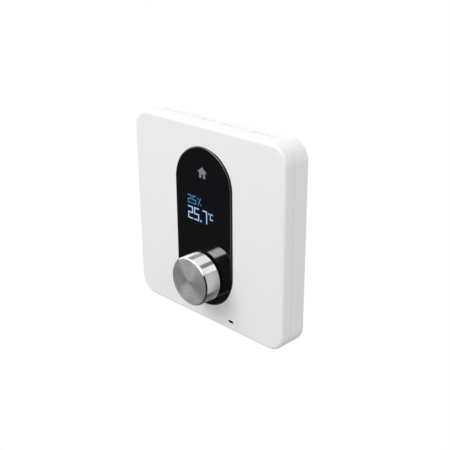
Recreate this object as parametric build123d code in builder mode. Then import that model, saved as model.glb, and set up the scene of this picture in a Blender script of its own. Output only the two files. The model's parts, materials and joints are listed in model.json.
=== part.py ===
"""Square wall thermostat: a thin two-part casing that hooks onto a wall plate, with a black lens,
a small display and a push-and-turn knob. Millimetres, Z up. The origin is the centre of the wall
face, and the thermostat faces -Y. A depth is a distance in front of the wall, towards -Y."""

import os

from build123d import *

os.makedirs("parts", exist_ok=True)

# Casing
CASE = 86.0                  # width and height
CASE_R = 8.0                 # corner radius
CASE_REAR = 0.4              # rear edge of the casing, just clear of the wall
CASE_SPLIT = 8.4             # parting line between the two halves
CASE_FRONT = 13.0            # face of the front cover
WALL = 1.8                   # rear casing's wall
COVER_WALL = 2.8             # front cover's wall, stepped at the tongue
FACE_REAR = CASE_FRONT - 1.8
FLOOR_REAR = 2.3
FLOOR_FRONT = 3.5
FRONT_ROUND = 1.2
REAR_ROUND = 0.5
GROOVE_WIDTH = 0.15          # shadow groove along the parting line
GROOVE_DEPTH = 0.15
TONGUE_REAR = 7.0
TONGUE_GAP = 0.1

# Wall plate, hooks and snap
PLATE = CASE - 2 * WALL - 1.0
PLATE_R = CASE_R - WALL - 0.5
PLATE_FRONT = 2.0
BOX_PITCH = 60.0             # screw centres of the wall box
SCREW_SLOT_WIDTH = 4.2
SCREW_SLOT_LENGTH = 7.0
HEAD_WINDOW_WIDTH = 9.5
HEAD_WINDOW_LENGTH = 12.0
WINDOW_W = 44.0              # cable window
WINDOW_H = 25.0
WINDOW_Z = -4.5
WINDOW_R = 2.0
HOOK_X = 20.0
HOOK_WIDTH = 8.0
HOOK_LOW = 38.2              # underside of the hook's post
HOOK_POST = 0.9
HOOK_TOP = 40.6              # tip of the hook's lip
HOOK_LIP_REAR = 4.6
HOOK_FRONT = 5.6
HOOK_SLOT_LOW = 36.5
HOOK_SLOT_TOP = 39.3
SNAP_WIDTH = 10.0
SNAP_TOP = -37.6
SNAP_LOW = -38.6
SNAP_NOSE_LOW = -38.9
SNAP_NOSE_REAR = 3.8
SNAP_FRONT = 5.0
SNAP_SLOT_TOP = -37.2
SNAP_SLOT_LOW = -39.2
SLOT_SLACK = 0.5             # side room of the hooks and the snap in their slots

# Casing screws and board screws
CORNER = 35.2
CUP_R = 4.0
CUP_FRONT = 5.4
HEAD_SEAT = 4.2
HEAD_BORE_R = 2.8
CORNER_BOSS_R = 2.8
BOSS_GAP = 0.1
CASING_HOLE_R = 1.4
CASING_PILOT_R = 1.25
CASING_PILOT = 5.2
CASING_HEAD_R = 2.4
CASING_HEAD = 1.5
CASING_SHANK_R = 1.2
CASING_SHANK = 5.8
CASING_CROSS = (2.8, 0.6)
CASING_CROSS_DEPTH = 0.8
BOARD_SCREW_X = 27.5
BOARD_SCREW_Z = 36.5
BOARD_BOSS_R = 2.4
BOARD_HOLE_R = 1.2
BOARD_PILOT_R = 1.05
BOARD_PILOT = 2.8
BOARD_HEAD_R = 2.0
BOARD_HEAD = 1.3
BOARD_SHANK_R = 1.0
BOARD_SHANK = 4.0
BOARD_CROSS = (2.4, 0.5)
BOARD_CROSS_DEPTH = 0.7
HEAD_CHAMFER = 0.3

# Vents in the top and bottom walls
VENT_LENGTH = 14.0
VENT_WIDTH = 0.4
VENT_PITCH = 16.5
VENT_ROW = 1.5
VENT_COLUMNS = 4
VENT_ROWS = 2
VENT_DEPTH = 5.15

# Lens
LENS_W = 32.3
LENS_H = 69.4
LENS_REAR = 12.55
LENS_FRONT = 14.5
LENS_ROUND = 0.45
RIM_WIDTH = 0.9              # how far the lens's rim hangs over the cover
RIM_RISE = 1.0               # height of the undercut slope below the rim
FOOT_W = LENS_W - 2 * RIM_WIDTH
FOOT_H = LENS_H - 2 * RIM_WIDTH
LENS_GAP = 0.15
OPENING_CHAMFER = 0.1
TAPE_INSET = 0.1             # tape's edge inside the lens's edge
TAPE_CLEAR = 0.1            # tape's inner edge outside the ledge's opening
LEDGE_FRONT = 12.35
LEDGE_W = 28.7
LEDGE_H = 65.2

# Board
BOARD_W = 62.0
BOARD_H = 79.6
BOARD_REAR = 6.2
BOARD_FRONT = 7.8
BOARD_R = 2.0
HEAT_SLOT = (11.0, 1.2)      # slot that keeps the board's heat from the air sensor
HEAT_SLOT_Z = -33.6

# Display
PANEL_W = 26.7
PANEL_H = 19.26
PANEL_Z = 5.5
PANEL_REAR = 10.6
PANEL_FRONT = 12.0
PANEL_SHELF = 2.0            # height of the shelf that the ribbon is bonded to
PANEL_GAP = 0.1
HOLDER_W = 28.3
HOLDER_H = 21.3
HOLDER_R = 0.8
HOLDER_WALL = 1.75
HOLDER_FRONT = 12.05
NOTCH_H = 3.0                # notch that lets the ribbon out
RIBBON_W = 12.0
RIBBON_T = 0.15
RIBBON_TOP = PANEL_Z - PANEL_H / 2 + 1.6
RIBBON_FRONT = 11.4
RIBBON_BEND_Z = -6.0
RIBBON_BEND_R = 0.7
SOCKET_Z = -9.0
SOCKET_H = 3.0
SOCKET_T = 1.2
SOCKET_MOUTH = 8.4           # depth at which the ribbon enters the socket

# Encoder and knob, on an axis along Y
KNOB_Z = -21.4
ENCODER = 11.9
ENCODER_R = 0.6
ENCODER_BORE_R = 5.2
ENCODER_FLOOR = 8.2
ENCODER_RIM = 9.6
CAN = 12.5
CAN_R = 0.9
CAN_WALL = 0.3
CAN_REAR = 7.85
CAN_INNER = 10.8
CAN_FRONT = 11.2
DOME_R = 3.5
DOME_TOP = 8.7
DOME_T = 0.12
DOME_FOOT = 0.8
PLUNGER_R = 2.6
PLUNGER_REAR = 8.75
PLUNGER_FRONT = 9.2
ROTOR_R = 4.6
ROTOR_REAR = 9.6
ROTOR_FRONT = 10.6
ROTOR_NOTCHES = 20
ROTOR_NOTCH_R = 0.25
WIPER_R = 4.3
WIPER_W = 0.8
WIPER_T = 0.15
SHAFT_R = 3.0
SHAFT_FLAT = 1.5             # height of the D's flat above the axis
SHAFT_REAR = 9.25
SHAFT_FRONT = 20.9
BUSHING_R = 3.5
BUSHING_SEAT_R = 3.4
BUSHING_FRONT = 14.6
FLANGE_R = 5.0
FLANGE_T = 0.6
PIN_PITCH = 2.5
PIN_Z = 7.1
PIN = (0.8, 1.5)
PIN_T = 0.3
RUNNING_GAP = 0.05           # radial clearance of the turning shaft
LENS_HOLE_R = 3.8
KNOB_R = 10.6
KNOB_REAR = 15.6
KNOB_FRONT = 23.2
KNOB_CHAMFER = 0.55
KNOB_REAR_CHAMFER = 0.2
KNOB_SIDE = 0.9
KNOB_FACE = 1.2
CORE_R = KNOB_R - KNOB_SIDE - 0.05
CORE_HUB_R = 5.4
CORE_REAR = 15.6
CORE_FRONT = KNOB_FRONT - KNOB_FACE - 0.02
CORE_WEB = 1.0
CORE_SKIN = 1.0
CORE_RIBS = 6
CORE_RIB_T = 1.0
CORE_BORE_FLAT = SHAFT_FLAT + 0.5
CLIP_REAR = CORE_REAR + 0.3
CLIP_Z = SHAFT_FLAT + 0.25   # height above the axis, between the shaft's flat and the bore's
CLIP = (3.6, 0.4)
CLIP_LENGTH = 4.6

# Terminals
WAYS = 6
WAY_PITCH = 5.08
BLOCK_W = WAYS * WAY_PITCH
BLOCK_LOW = -15.0
BLOCK_TOP = -6.0
BLOCK_REAR = 0.8
BLOCK_CHAMFER = 0.4
WELL_Z = BLOCK_LOW + 4.0     # wells of the terminal screws
WELL_R = 1.8
WELL = 2.2
SCREW_SEAT = BLOCK_REAR + 0.5
SCREW_R = 1.7
SCREW_LENGTH = 1.4
SCREW_NICK = (3.0, 0.5)
SCREW_NICK_DEPTH = 0.6
WIRE_DEPTH = 4.3             # depth of the middle of the wire openings
WIRE_MOUTH = (3.4, 2.6)
WIRE_REACH = 6.0
CLAMP = (3.2, 2.4)
CLAMP_HOLE = (2.4, 1.6)
CLAMP_LOW = BLOCK_TOP - 5.5
CLAMP_HEIGHT = 4.5

# Chips: place (x, z) on the board, size and thickness
CONTROLLER_AT = (-22.5, -20.0)
CONTROLLER = 10.0
CONTROLLER_T = 1.4
REGULATOR_AT = (23.0, -12.0)
REGULATOR = (6.6, 6.1)
REGULATOR_T = 2.3
TRANSCEIVER_AT = (-23.0, 6.0)
TRANSCEIVER = (3.9, 4.9)
TRANSCEIVER_T = 1.5
INDUCTOR_AT = (23.0, 1.0)
INDUCTOR = 6.0
INDUCTOR_T = 2.8
INDUCTOR_R = 1.5
CAPACITORS_AT = [(23.0, -22.0), (-22.0, -9.0), (-22.0, 14.0)]
CAPACITOR = (1.25, 2.0)
CAPACITOR_T = 0.8
RESISTORS_AT = (23.0, 14.0)
RESISTOR = (0.8, 1.6)
RESISTOR_T = 0.45

# Air sensor and its slot in the face
SLOT_X = 14.2
SLOT_Z = -38.8
SLOT_W = 2.8
SLOT_H = 1.2
SENSOR_Z = -37.0
SENSOR = 2.5
SENSOR_T = 0.9
SENSOR_PORT_R = 0.5
SENSOR_PORT = 0.3
COLLAR_Z = -37.4
COLLAR = (7.6, 5.2)
COLLAR_R = 0.8
COLLAR_BORE = (5.4, 4.0)
COLLAR_BORE_R = 0.4
COLLAR_WEB = 0.5             # thickness of the collar's front, behind the slot
SPOUT_GAP = 0.02             # between the collar's spout and the slot
SPOUT_WALL = 0.15
SPOUT_FRONT = CASE_FRONT - 0.1


def front(depth, x=0.0, z=0.0):
    """A plane parallel to the wall at this depth, with its origin at (x, z), facing the room."""
    return Plane(origin=(x, -depth, z), x_dir=(1, 0, 0), z_dir=(0, -1, 0))


def save(piece, name):
    """Label a finished piece and write it as its own file."""
    piece.part.label = name
    export_step(piece.part, f"parts/{name}.step")


def square_outline(size, radius):
    """Rounded square of the casing family."""
    RectangleRounded(size, size, radius)


def stadium(width, height):
    """Upright shape with round ends, as the lens."""
    SlotOverall(height, width, rotation=90)


def d_profile(radius, flat):
    """Round profile with one flat, at the given height above its centre."""
    Circle(radius)
    with Locations((0, flat + radius)):
        Rectangle(3 * radius, 2 * radius, mode=Mode.SUBTRACT)


def span(low, high):
    """Centre of an interval."""
    return (low + high) / 2


CORNERS = [(x, z) for x in (-CORNER, CORNER) for z in (-CORNER, CORNER)]
BOARD_HOLES = [(x, z) for x in (-BOARD_SCREW_X, BOARD_SCREW_X) for z in (-BOARD_SCREW_Z, BOARD_SCREW_Z)]
HOOKS_X = (-HOOK_X, HOOK_X)
HALF_PITCH = BOX_PITCH / 2
WAYS_X = [(i - (WAYS - 1) / 2) * WAY_PITCH for i in range(WAYS)]


# Wall plate: two pairs of slots for the wall box, a cable window, two hooks and a snap.
with BuildPart() as wall_plate:
    with BuildSketch(front(0)):
        square_outline(PLATE, PLATE_R)
        with Locations((0, WINDOW_Z)):
            RectangleRounded(WINDOW_W, WINDOW_H, WINDOW_R, mode=Mode.SUBTRACT)
        with Locations((-HALF_PITCH, 0), (HALF_PITCH, 0)):
            SlotOverall(SCREW_SLOT_LENGTH, SCREW_SLOT_WIDTH, mode=Mode.SUBTRACT)
        with Locations((0, -HALF_PITCH), (0, HALF_PITCH)):
            SlotOverall(SCREW_SLOT_LENGTH, SCREW_SLOT_WIDTH, rotation=90, mode=Mode.SUBTRACT)
    extrude(amount=PLATE_FRONT)
    with BuildSketch(front(PLATE_FRONT)):
        for x in HOOKS_X:
            with Locations((x, HOOK_LOW + HOOK_POST / 2)):
                Rectangle(HOOK_WIDTH, HOOK_POST)
    extrude(amount=HOOK_FRONT - PLATE_FRONT)
    with BuildSketch(front(HOOK_LIP_REAR)):
        for x in HOOKS_X:
            with Locations((x, span(HOOK_LOW, HOOK_TOP))):
                Rectangle(HOOK_WIDTH, HOOK_TOP - HOOK_LOW)
    extrude(amount=HOOK_FRONT - HOOK_LIP_REAR)
    with BuildSketch(front(PLATE_FRONT, z=span(SNAP_LOW, SNAP_TOP))):
        Rectangle(SNAP_WIDTH, SNAP_TOP - SNAP_LOW)
    extrude(amount=SNAP_FRONT - PLATE_FRONT)
    with BuildSketch(front(SNAP_NOSE_REAR, z=span(SNAP_NOSE_LOW, SNAP_TOP))):
        Rectangle(SNAP_WIDTH, SNAP_TOP - SNAP_NOSE_LOW)
    extrude(amount=SNAP_FRONT - SNAP_NOSE_REAR)
save(wall_plate, "wall_plate")


# Rear casing: a shallow tray whose floor stands in front of the wall plate.
with BuildPart() as rear_casing:
    with BuildSketch(front(CASE_REAR)):
        square_outline(CASE, CASE_R)
    extrude(amount=CASE_SPLIT - CASE_REAR)
    fillet(rear_casing.faces().sort_by(Axis.Y)[-1].edges(), REAR_ROUND)
    with BuildSketch(front(CASE_REAR)):
        square_outline(CASE - 2 * WALL, CASE_R - WALL)
    extrude(amount=FLOOR_REAR - CASE_REAR, mode=Mode.SUBTRACT)
    with BuildSketch(front(FLOOR_FRONT)):
        square_outline(CASE - 2 * WALL, CASE_R - WALL)
    extrude(amount=CASE_SPLIT - FLOOR_FRONT, mode=Mode.SUBTRACT)
    # Cups that take the heads of the casing screws.
    with BuildSketch(front(FLOOR_FRONT)):
        with Locations(*CORNERS):
            Circle(CUP_R)
    extrude(amount=CUP_FRONT - FLOOR_FRONT)
    with BuildSketch(front(FLOOR_REAR)):
        with Locations(*CORNERS):
            Circle(HEAD_BORE_R)
    extrude(amount=HEAD_SEAT - FLOOR_REAR, mode=Mode.SUBTRACT)
    with BuildSketch(front(HEAD_SEAT)):
        with Locations(*CORNERS):
            Circle(CASING_HOLE_R)
    extrude(amount=CUP_FRONT - HEAD_SEAT, mode=Mode.SUBTRACT)
    # Openings in the floor: cables, heads of the wall screws, hooks and snap.
    with BuildSketch(front(FLOOR_REAR)):
        with Locations((0, WINDOW_Z)):
            RectangleRounded(WINDOW_W, WINDOW_H, WINDOW_R)
        with Locations((-HALF_PITCH, 0), (HALF_PITCH, 0)):
            SlotOverall(HEAD_WINDOW_LENGTH, HEAD_WINDOW_WIDTH)
        with Locations((0, -HALF_PITCH), (0, HALF_PITCH)):
            SlotOverall(HEAD_WINDOW_LENGTH, HEAD_WINDOW_WIDTH, rotation=90)
        for x in HOOKS_X:
            with Locations((x, span(HOOK_SLOT_LOW, HOOK_SLOT_TOP))):
                Rectangle(HOOK_WIDTH + 2 * SLOT_SLACK, HOOK_SLOT_TOP - HOOK_SLOT_LOW)
        with Locations((0, span(SNAP_SLOT_LOW, SNAP_SLOT_TOP))):
            Rectangle(SNAP_WIDTH + 2 * SLOT_SLACK, SNAP_SLOT_TOP - SNAP_SLOT_LOW)
    extrude(amount=FLOOR_FRONT - FLOOR_REAR, mode=Mode.SUBTRACT)
    # Vent slots through the top and bottom walls.
    for low in (CASE / 2 - WALL, -CASE / 2):
        with BuildSketch(Plane.XY.offset(low)):
            with Locations((0, -VENT_DEPTH)):
                with GridLocations(VENT_PITCH, VENT_ROW, VENT_COLUMNS, VENT_ROWS):
                    SlotOverall(VENT_LENGTH, VENT_WIDTH)
        extrude(amount=WALL, mode=Mode.SUBTRACT)
save(rear_casing, "rear_casing")


# Front cover: rounded face, shadow groove, tongue, lens seat, bosses and the sensor's slot.
with BuildPart() as front_cover:
    with BuildSketch(front(CASE_SPLIT)):
        square_outline(CASE - 2 * GROOVE_DEPTH, CASE_R - GROOVE_DEPTH)
    extrude(amount=GROOVE_WIDTH)
    with BuildSketch(front(CASE_SPLIT + GROOVE_WIDTH)):
        square_outline(CASE, CASE_R)
    extrude(amount=CASE_FRONT - CASE_SPLIT - GROOVE_WIDTH)
    fillet(front_cover.faces().sort_by(Axis.Y)[0].edges(), FRONT_ROUND)
    with BuildSketch(front(TONGUE_REAR)):
        square_outline(CASE - 2 * WALL - 2 * TONGUE_GAP, CASE_R - WALL - TONGUE_GAP)
    extrude(amount=CASE_SPLIT - TONGUE_REAR)
    with BuildSketch(front(TONGUE_REAR)):
        square_outline(CASE - 2 * COVER_WALL, CASE_R - COVER_WALL)
    extrude(amount=FACE_REAR - TONGUE_REAR, mode=Mode.SUBTRACT)
    with BuildSketch(front(LEDGE_FRONT)):
        stadium(FOOT_W + 2 * LENS_GAP, FOOT_H + 2 * LENS_GAP)
    extrude(amount=CASE_FRONT - LEDGE_FRONT, mode=Mode.SUBTRACT)
    chamfer(front_cover.faces().sort_by(Axis.Y)[0].inner_wires()[0].edges(), OPENING_CHAMFER)
    with BuildSketch(front(FACE_REAR)):
        stadium(LEDGE_W, LEDGE_H)
    extrude(amount=LEDGE_FRONT - FACE_REAR, mode=Mode.SUBTRACT)
    # Bosses for the casing screws and for the board.
    with BuildSketch(front(CUP_FRONT + BOSS_GAP)):
        with Locations(*CORNERS):
            Circle(CORNER_BOSS_R)
    extrude(amount=FACE_REAR - CUP_FRONT - BOSS_GAP)
    with BuildSketch(front(BOARD_FRONT)):
        with Locations(*BOARD_HOLES):
            Circle(BOARD_BOSS_R)
    extrude(amount=FACE_REAR - BOARD_FRONT)
    with BuildSketch(front(CUP_FRONT)):
        with Locations(*CORNERS):
            Circle(CASING_PILOT_R)
    extrude(amount=CASING_PILOT, mode=Mode.SUBTRACT)
    with BuildSketch(front(BOARD_FRONT)):
        with Locations(*BOARD_HOLES):
            Circle(BOARD_PILOT_R)
    extrude(amount=BOARD_PILOT, mode=Mode.SUBTRACT)
    with BuildSketch(front(FACE_REAR, SLOT_X, SLOT_Z)):
        SlotOverall(SLOT_W, SLOT_H)
    extrude(amount=CASE_FRONT - FACE_REAR, mode=Mode.SUBTRACT)
save(front_cover, "front_cover")


# Lens with a rounded, undercut rim on a foot that fills the opening, and the adhesive ring that holds
# the foot on its ledge.
with BuildPart() as display_lens:
    with BuildSketch(front(CASE_FRONT + RIM_RISE)):
        stadium(LENS_W, LENS_H)
    extrude(amount=LENS_FRONT - CASE_FRONT - RIM_RISE)
    fillet(display_lens.faces().sort_by(Axis.Y)[0].edges(), LENS_ROUND)
    with BuildSketch(front(CASE_FRONT)):
        stadium(FOOT_W, FOOT_H)
    with BuildSketch(front(CASE_FRONT + RIM_RISE)):
        stadium(LENS_W, LENS_H)
    loft(ruled=True)
    with BuildSketch(front(LENS_REAR)):
        stadium(FOOT_W, FOOT_H)
    extrude(amount=CASE_FRONT - LENS_REAR)
    with BuildSketch(front(LENS_REAR, z=KNOB_Z)):
        Circle(LENS_HOLE_R)
    extrude(amount=LENS_FRONT - LENS_REAR, mode=Mode.SUBTRACT)
save(display_lens, "display_lens")

with BuildPart() as lens_tape:
    with BuildSketch(front(LEDGE_FRONT)):
        stadium(FOOT_W - 2 * TAPE_INSET, FOOT_H - 2 * TAPE_INSET)
        SlotOverall(
            LEDGE_H + 2 * TAPE_CLEAR, LEDGE_W + 2 * TAPE_CLEAR, rotation=90, mode=Mode.SUBTRACT
        )
    extrude(amount=LENS_REAR - LEDGE_FRONT)
save(lens_tape, "lens_tape")


# Board with its screw holes and its heat slot.
with BuildPart() as main_board:
    with BuildSketch(front(BOARD_REAR)):
        RectangleRounded(BOARD_W, BOARD_H, BOARD_R)
        with Locations(*BOARD_HOLES):
            Circle(BOARD_HOLE_R, mode=Mode.SUBTRACT)
        with Locations((SLOT_X, HEAT_SLOT_Z)):
            SlotOverall(*HEAT_SLOT, mode=Mode.SUBTRACT)
    extrude(amount=BOARD_FRONT - BOARD_REAR)
save(main_board, "main_board")

with BuildPart() as board_screws:
    with BuildSketch(front(BOARD_REAR - BOARD_HEAD)):
        with Locations(*BOARD_HOLES):
            Circle(BOARD_HEAD_R)
    extrude(amount=BOARD_HEAD)
    chamfer(board_screws.faces().filter_by(Plane.XZ).sort_by(Axis.Y)[-4:].edges(), HEAD_CHAMFER)
    with BuildSketch(front(BOARD_REAR)):
        with Locations(*BOARD_HOLES):
            Circle(BOARD_SHANK_R)
    extrude(amount=BOARD_SHANK)
    with BuildSketch(front(BOARD_REAR - BOARD_HEAD)):
        with Locations(*BOARD_HOLES):
            Rectangle(*BOARD_CROSS)
            Rectangle(*BOARD_CROSS, rotation=90)
    extrude(amount=BOARD_CROSS_DEPTH, mode=Mode.SUBTRACT)
save(board_screws, "board_screws")

with BuildPart() as casing_screws:
    with BuildSketch(front(HEAD_SEAT - CASING_HEAD)):
        with Locations(*CORNERS):
            Circle(CASING_HEAD_R)
    extrude(amount=CASING_HEAD)
    chamfer(casing_screws.faces().filter_by(Plane.XZ).sort_by(Axis.Y)[-4:].edges(), HEAD_CHAMFER)
    with BuildSketch(front(HEAD_SEAT)):
        with Locations(*CORNERS):
            Circle(CASING_SHANK_R)
    extrude(amount=CASING_SHANK)
    with BuildSketch(front(HEAD_SEAT - CASING_HEAD)):
        with Locations(*CORNERS):
            Rectangle(*CASING_CROSS)
            Rectangle(*CASING_CROSS, rotation=90)
    extrude(amount=CASING_CROSS_DEPTH, mode=Mode.SUBTRACT)
save(casing_screws, "casing_screws")


# Display: the panel in its holder, a flat ribbon and the ribbon's socket.
with BuildPart() as display_holder:
    with BuildSketch(front(BOARD_FRONT, z=PANEL_Z)):
        RectangleRounded(HOLDER_W, HOLDER_H, HOLDER_R)
        Rectangle(HOLDER_W - 2 * HOLDER_WALL, HOLDER_H - 2 * HOLDER_WALL, mode=Mode.SUBTRACT)
    extrude(amount=HOLDER_FRONT - BOARD_FRONT)
    with BuildSketch(front(PANEL_REAR, z=PANEL_Z)):
        Rectangle(PANEL_W + 2 * PANEL_GAP, PANEL_H + 2 * PANEL_GAP)
    extrude(amount=HOLDER_FRONT - PANEL_REAR, mode=Mode.SUBTRACT)
    with BuildSketch(front(PANEL_REAR, z=PANEL_Z - HOLDER_H / 2)):
        Rectangle(RIBBON_W + 1, NOTCH_H)
    extrude(amount=HOLDER_FRONT - PANEL_REAR, mode=Mode.SUBTRACT)
save(display_holder, "display_holder")

with BuildPart() as display_panel:
    with BuildSketch(front(PANEL_REAR, z=PANEL_Z)):
        Rectangle(PANEL_W, PANEL_H)
    extrude(amount=PANEL_FRONT - PANEL_REAR)
    # The front glass is shorter than the rear one, which leaves a shelf for the ribbon.
    with BuildSketch(front(span(PANEL_REAR, PANEL_FRONT), z=PANEL_Z - (PANEL_H - PANEL_SHELF) / 2)):
        Rectangle(PANEL_W, PANEL_SHELF)
    extrude(amount=(PANEL_FRONT - PANEL_REAR) / 2, mode=Mode.SUBTRACT)
save(display_panel, "display_panel")

with BuildPart() as display_ribbon:
    with BuildSketch(Plane.YZ):
        with BuildLine():
            FilletPolyline(
                (-RIBBON_FRONT, RIBBON_TOP),
                (-RIBBON_FRONT, RIBBON_BEND_Z),
                (-SOCKET_MOUTH, RIBBON_BEND_Z),
                (-SOCKET_MOUTH, SOCKET_Z + SOCKET_H / 2),
                radius=RIBBON_BEND_R,
            )
        trace(line_width=RIBBON_T)
    extrude(amount=RIBBON_W / 2, both=True)
save(display_ribbon, "display_ribbon")

with BuildPart() as display_socket:
    with BuildSketch(front(BOARD_FRONT, z=SOCKET_Z)):
        Rectangle(RIBBON_W + SOCKET_H, SOCKET_H)
    extrude(amount=SOCKET_T)
    chamfer(display_socket.faces().sort_by(Axis.Y)[0].edges(), 0.2)
save(display_socket, "display_socket")


# Encoder: base, can, bushing, pins, snap dome, plunger, rotor, wiper and shaft.
with BuildPart() as encoder_base:
    with BuildSketch(front(BOARD_FRONT, z=KNOB_Z)):
        RectangleRounded(ENCODER, ENCODER, ENCODER_R)
    extrude(amount=ENCODER_RIM - BOARD_FRONT)
    with BuildSketch(front(ENCODER_FLOOR, z=KNOB_Z)):
        Circle(ENCODER_BORE_R)
    extrude(amount=ENCODER_RIM - ENCODER_FLOOR, mode=Mode.SUBTRACT)
save(encoder_base, "encoder_base")

with BuildPart() as encoder_can:
    with BuildSketch(front(CAN_REAR, z=KNOB_Z)):
        RectangleRounded(CAN, CAN, CAN_R)
    extrude(amount=CAN_FRONT - CAN_REAR)
    fillet(encoder_can.faces().sort_by(Axis.Y)[0].edges(), CAN_WALL)
    with BuildSketch(front(CAN_REAR, z=KNOB_Z)):
        RectangleRounded(CAN - 2 * CAN_WALL, CAN - 2 * CAN_WALL, CAN_R - CAN_WALL)
    extrude(amount=CAN_INNER - CAN_REAR, mode=Mode.SUBTRACT)
    with BuildSketch(front(CAN_INNER, z=KNOB_Z)):
        Circle(BUSHING_SEAT_R)
    extrude(amount=CAN_FRONT - CAN_INNER, mode=Mode.SUBTRACT)
save(encoder_can, "encoder_can")

with BuildPart() as encoder_bushing:
    with BuildSketch(front(CAN_FRONT, z=KNOB_Z)):
        Circle(FLANGE_R)
    extrude(amount=FLANGE_T)
    with BuildSketch(front(CAN_FRONT + FLANGE_T, z=KNOB_Z)):
        Circle(BUSHING_R)
    extrude(amount=BUSHING_FRONT - CAN_FRONT - FLANGE_T)
    chamfer(encoder_bushing.faces().sort_by(Axis.Y)[0].edges(), 0.25)
    with BuildSketch(front(CAN_FRONT, z=KNOB_Z)):
        Circle(SHAFT_R + RUNNING_GAP)
    extrude(amount=BUSHING_FRONT - CAN_FRONT, mode=Mode.SUBTRACT)
save(encoder_bushing, "encoder_bushing")

with BuildPart() as encoder_pins:
    with BuildSketch(front(BOARD_FRONT, z=KNOB_Z)):
        with Locations((-PIN_PITCH, -PIN_Z), (0, -PIN_Z), (PIN_PITCH, -PIN_Z)):
            Rectangle(*PIN)
        with Locations((-PIN_PITCH, PIN_Z), (PIN_PITCH, PIN_Z)):
            Rectangle(*PIN)
    extrude(amount=PIN_T)
save(encoder_pins, "encoder_pins")

with BuildPart() as click_dome:
    with BuildSketch(Plane.XY.offset(KNOB_Z)):
        with BuildLine():
            ThreePointArc((-DOME_R, -ENCODER_FLOOR), (0, -DOME_TOP), (DOME_R, -ENCODER_FLOOR))
            Line((DOME_R, -ENCODER_FLOOR), (DOME_R - DOME_FOOT, -ENCODER_FLOOR))
            ThreePointArc(
                (DOME_R - DOME_FOOT, -ENCODER_FLOOR),
                (0, -DOME_TOP + DOME_T),
                (-DOME_R + DOME_FOOT, -ENCODER_FLOOR),
            )
            Line((-DOME_R + DOME_FOOT, -ENCODER_FLOOR), (-DOME_R, -ENCODER_FLOOR))
        make_face()
        with Locations((-DOME_R, -DOME_TOP)):
            Rectangle(2 * DOME_R, 2 * DOME_R, mode=Mode.SUBTRACT)
    revolve(axis=Axis((0, 0, KNOB_Z), (0, 1, 0)))
save(click_dome, "click_dome")

with BuildPart() as encoder_plunger:
    with BuildSketch(front(PLUNGER_REAR, z=KNOB_Z)):
        Circle(PLUNGER_R)
    extrude(amount=PLUNGER_FRONT - PLUNGER_REAR)
    chamfer(encoder_plunger.faces().sort_by(Axis.Y)[-1].edges(), 0.15)
save(encoder_plunger, "encoder_plunger")

with BuildPart() as encoder_rotor:
    with BuildSketch(front(ROTOR_REAR, z=KNOB_Z)):
        Circle(ROTOR_R)
        with PolarLocations(ROTOR_R, ROTOR_NOTCHES):
            Circle(ROTOR_NOTCH_R, mode=Mode.SUBTRACT)
    extrude(amount=ROTOR_FRONT - ROTOR_REAR)
    with BuildSketch(front(ROTOR_REAR, z=KNOB_Z)):
        d_profile(SHAFT_R + RUNNING_GAP, SHAFT_FLAT + RUNNING_GAP)
    extrude(amount=ROTOR_FRONT - ROTOR_REAR, mode=Mode.SUBTRACT)
save(encoder_rotor, "encoder_rotor")

with BuildPart() as encoder_wiper:
    with BuildSketch(front(ROTOR_REAR - WIPER_T, z=KNOB_Z)):
        Circle(WIPER_R)
        Circle(WIPER_R - WIPER_W, mode=Mode.SUBTRACT)
    extrude(amount=WIPER_T)
save(encoder_wiper, "encoder_wiper")

with BuildPart() as encoder_shaft:
    with BuildSketch(front(SHAFT_REAR, z=KNOB_Z)):
        d_profile(SHAFT_R, SHAFT_FLAT)
    extrude(amount=SHAFT_FRONT - SHAFT_REAR)
    chamfer(encoder_shaft.faces().sort_by(Axis.Y)[0].edges(), 0.3)
save(encoder_shaft, "encoder_shaft")


# Knob: turned shell, ribbed hub and the leaf that grips the shaft's flat.
with BuildPart() as knob_shell:
    with BuildSketch(front(KNOB_REAR, z=KNOB_Z)):
        Circle(KNOB_R)
    extrude(amount=KNOB_FRONT - KNOB_REAR)
    chamfer(knob_shell.faces().sort_by(Axis.Y)[0].edges(), KNOB_CHAMFER)
    chamfer(knob_shell.faces().sort_by(Axis.Y)[-1].edges(), KNOB_REAR_CHAMFER)
    with BuildSketch(front(KNOB_REAR, z=KNOB_Z)):
        Circle(KNOB_R - KNOB_SIDE)
    extrude(amount=KNOB_FRONT - KNOB_FACE - KNOB_REAR, mode=Mode.SUBTRACT)
save(knob_shell, "knob_shell")

with BuildPart() as knob_core:
    with BuildSketch(front(CORE_FRONT - CORE_WEB, z=KNOB_Z)):
        Circle(CORE_R)
    extrude(amount=CORE_WEB)
    with BuildSketch(front(CORE_REAR, z=KNOB_Z)):
        Circle(CORE_R)
        Circle(CORE_R - CORE_SKIN, mode=Mode.SUBTRACT)
        with PolarLocations(span(CORE_HUB_R, CORE_R) - CORE_SKIN / 2, CORE_RIBS):
            Rectangle(CORE_R - CORE_HUB_R, CORE_RIB_T)
        Circle(CORE_HUB_R)
    extrude(amount=CORE_FRONT - CORE_WEB - CORE_REAR)
    with BuildSketch(front(CORE_REAR, z=KNOB_Z)):
        d_profile(SHAFT_R + RUNNING_GAP, CORE_BORE_FLAT)
    extrude(amount=SHAFT_FRONT + BOSS_GAP - CORE_REAR, mode=Mode.SUBTRACT)
save(knob_core, "knob_core")

with BuildPart() as knob_grip_clip:
    with BuildSketch(front(CLIP_REAR, z=KNOB_Z + CLIP_Z)):
        Rectangle(*CLIP)
    extrude(amount=CLIP_LENGTH)
save(knob_grip_clip, "knob_grip_clip")


# Electronics on the front of the board.
with BuildPart() as microcontroller:
    with BuildSketch(front(BOARD_FRONT, *CONTROLLER_AT)):
        Rectangle(CONTROLLER, CONTROLLER)
    extrude(amount=CONTROLLER_T)
    chamfer(microcontroller.faces().sort_by(Axis.Y)[0].edges(), 0.25)
save(microcontroller, "microcontroller")

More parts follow.
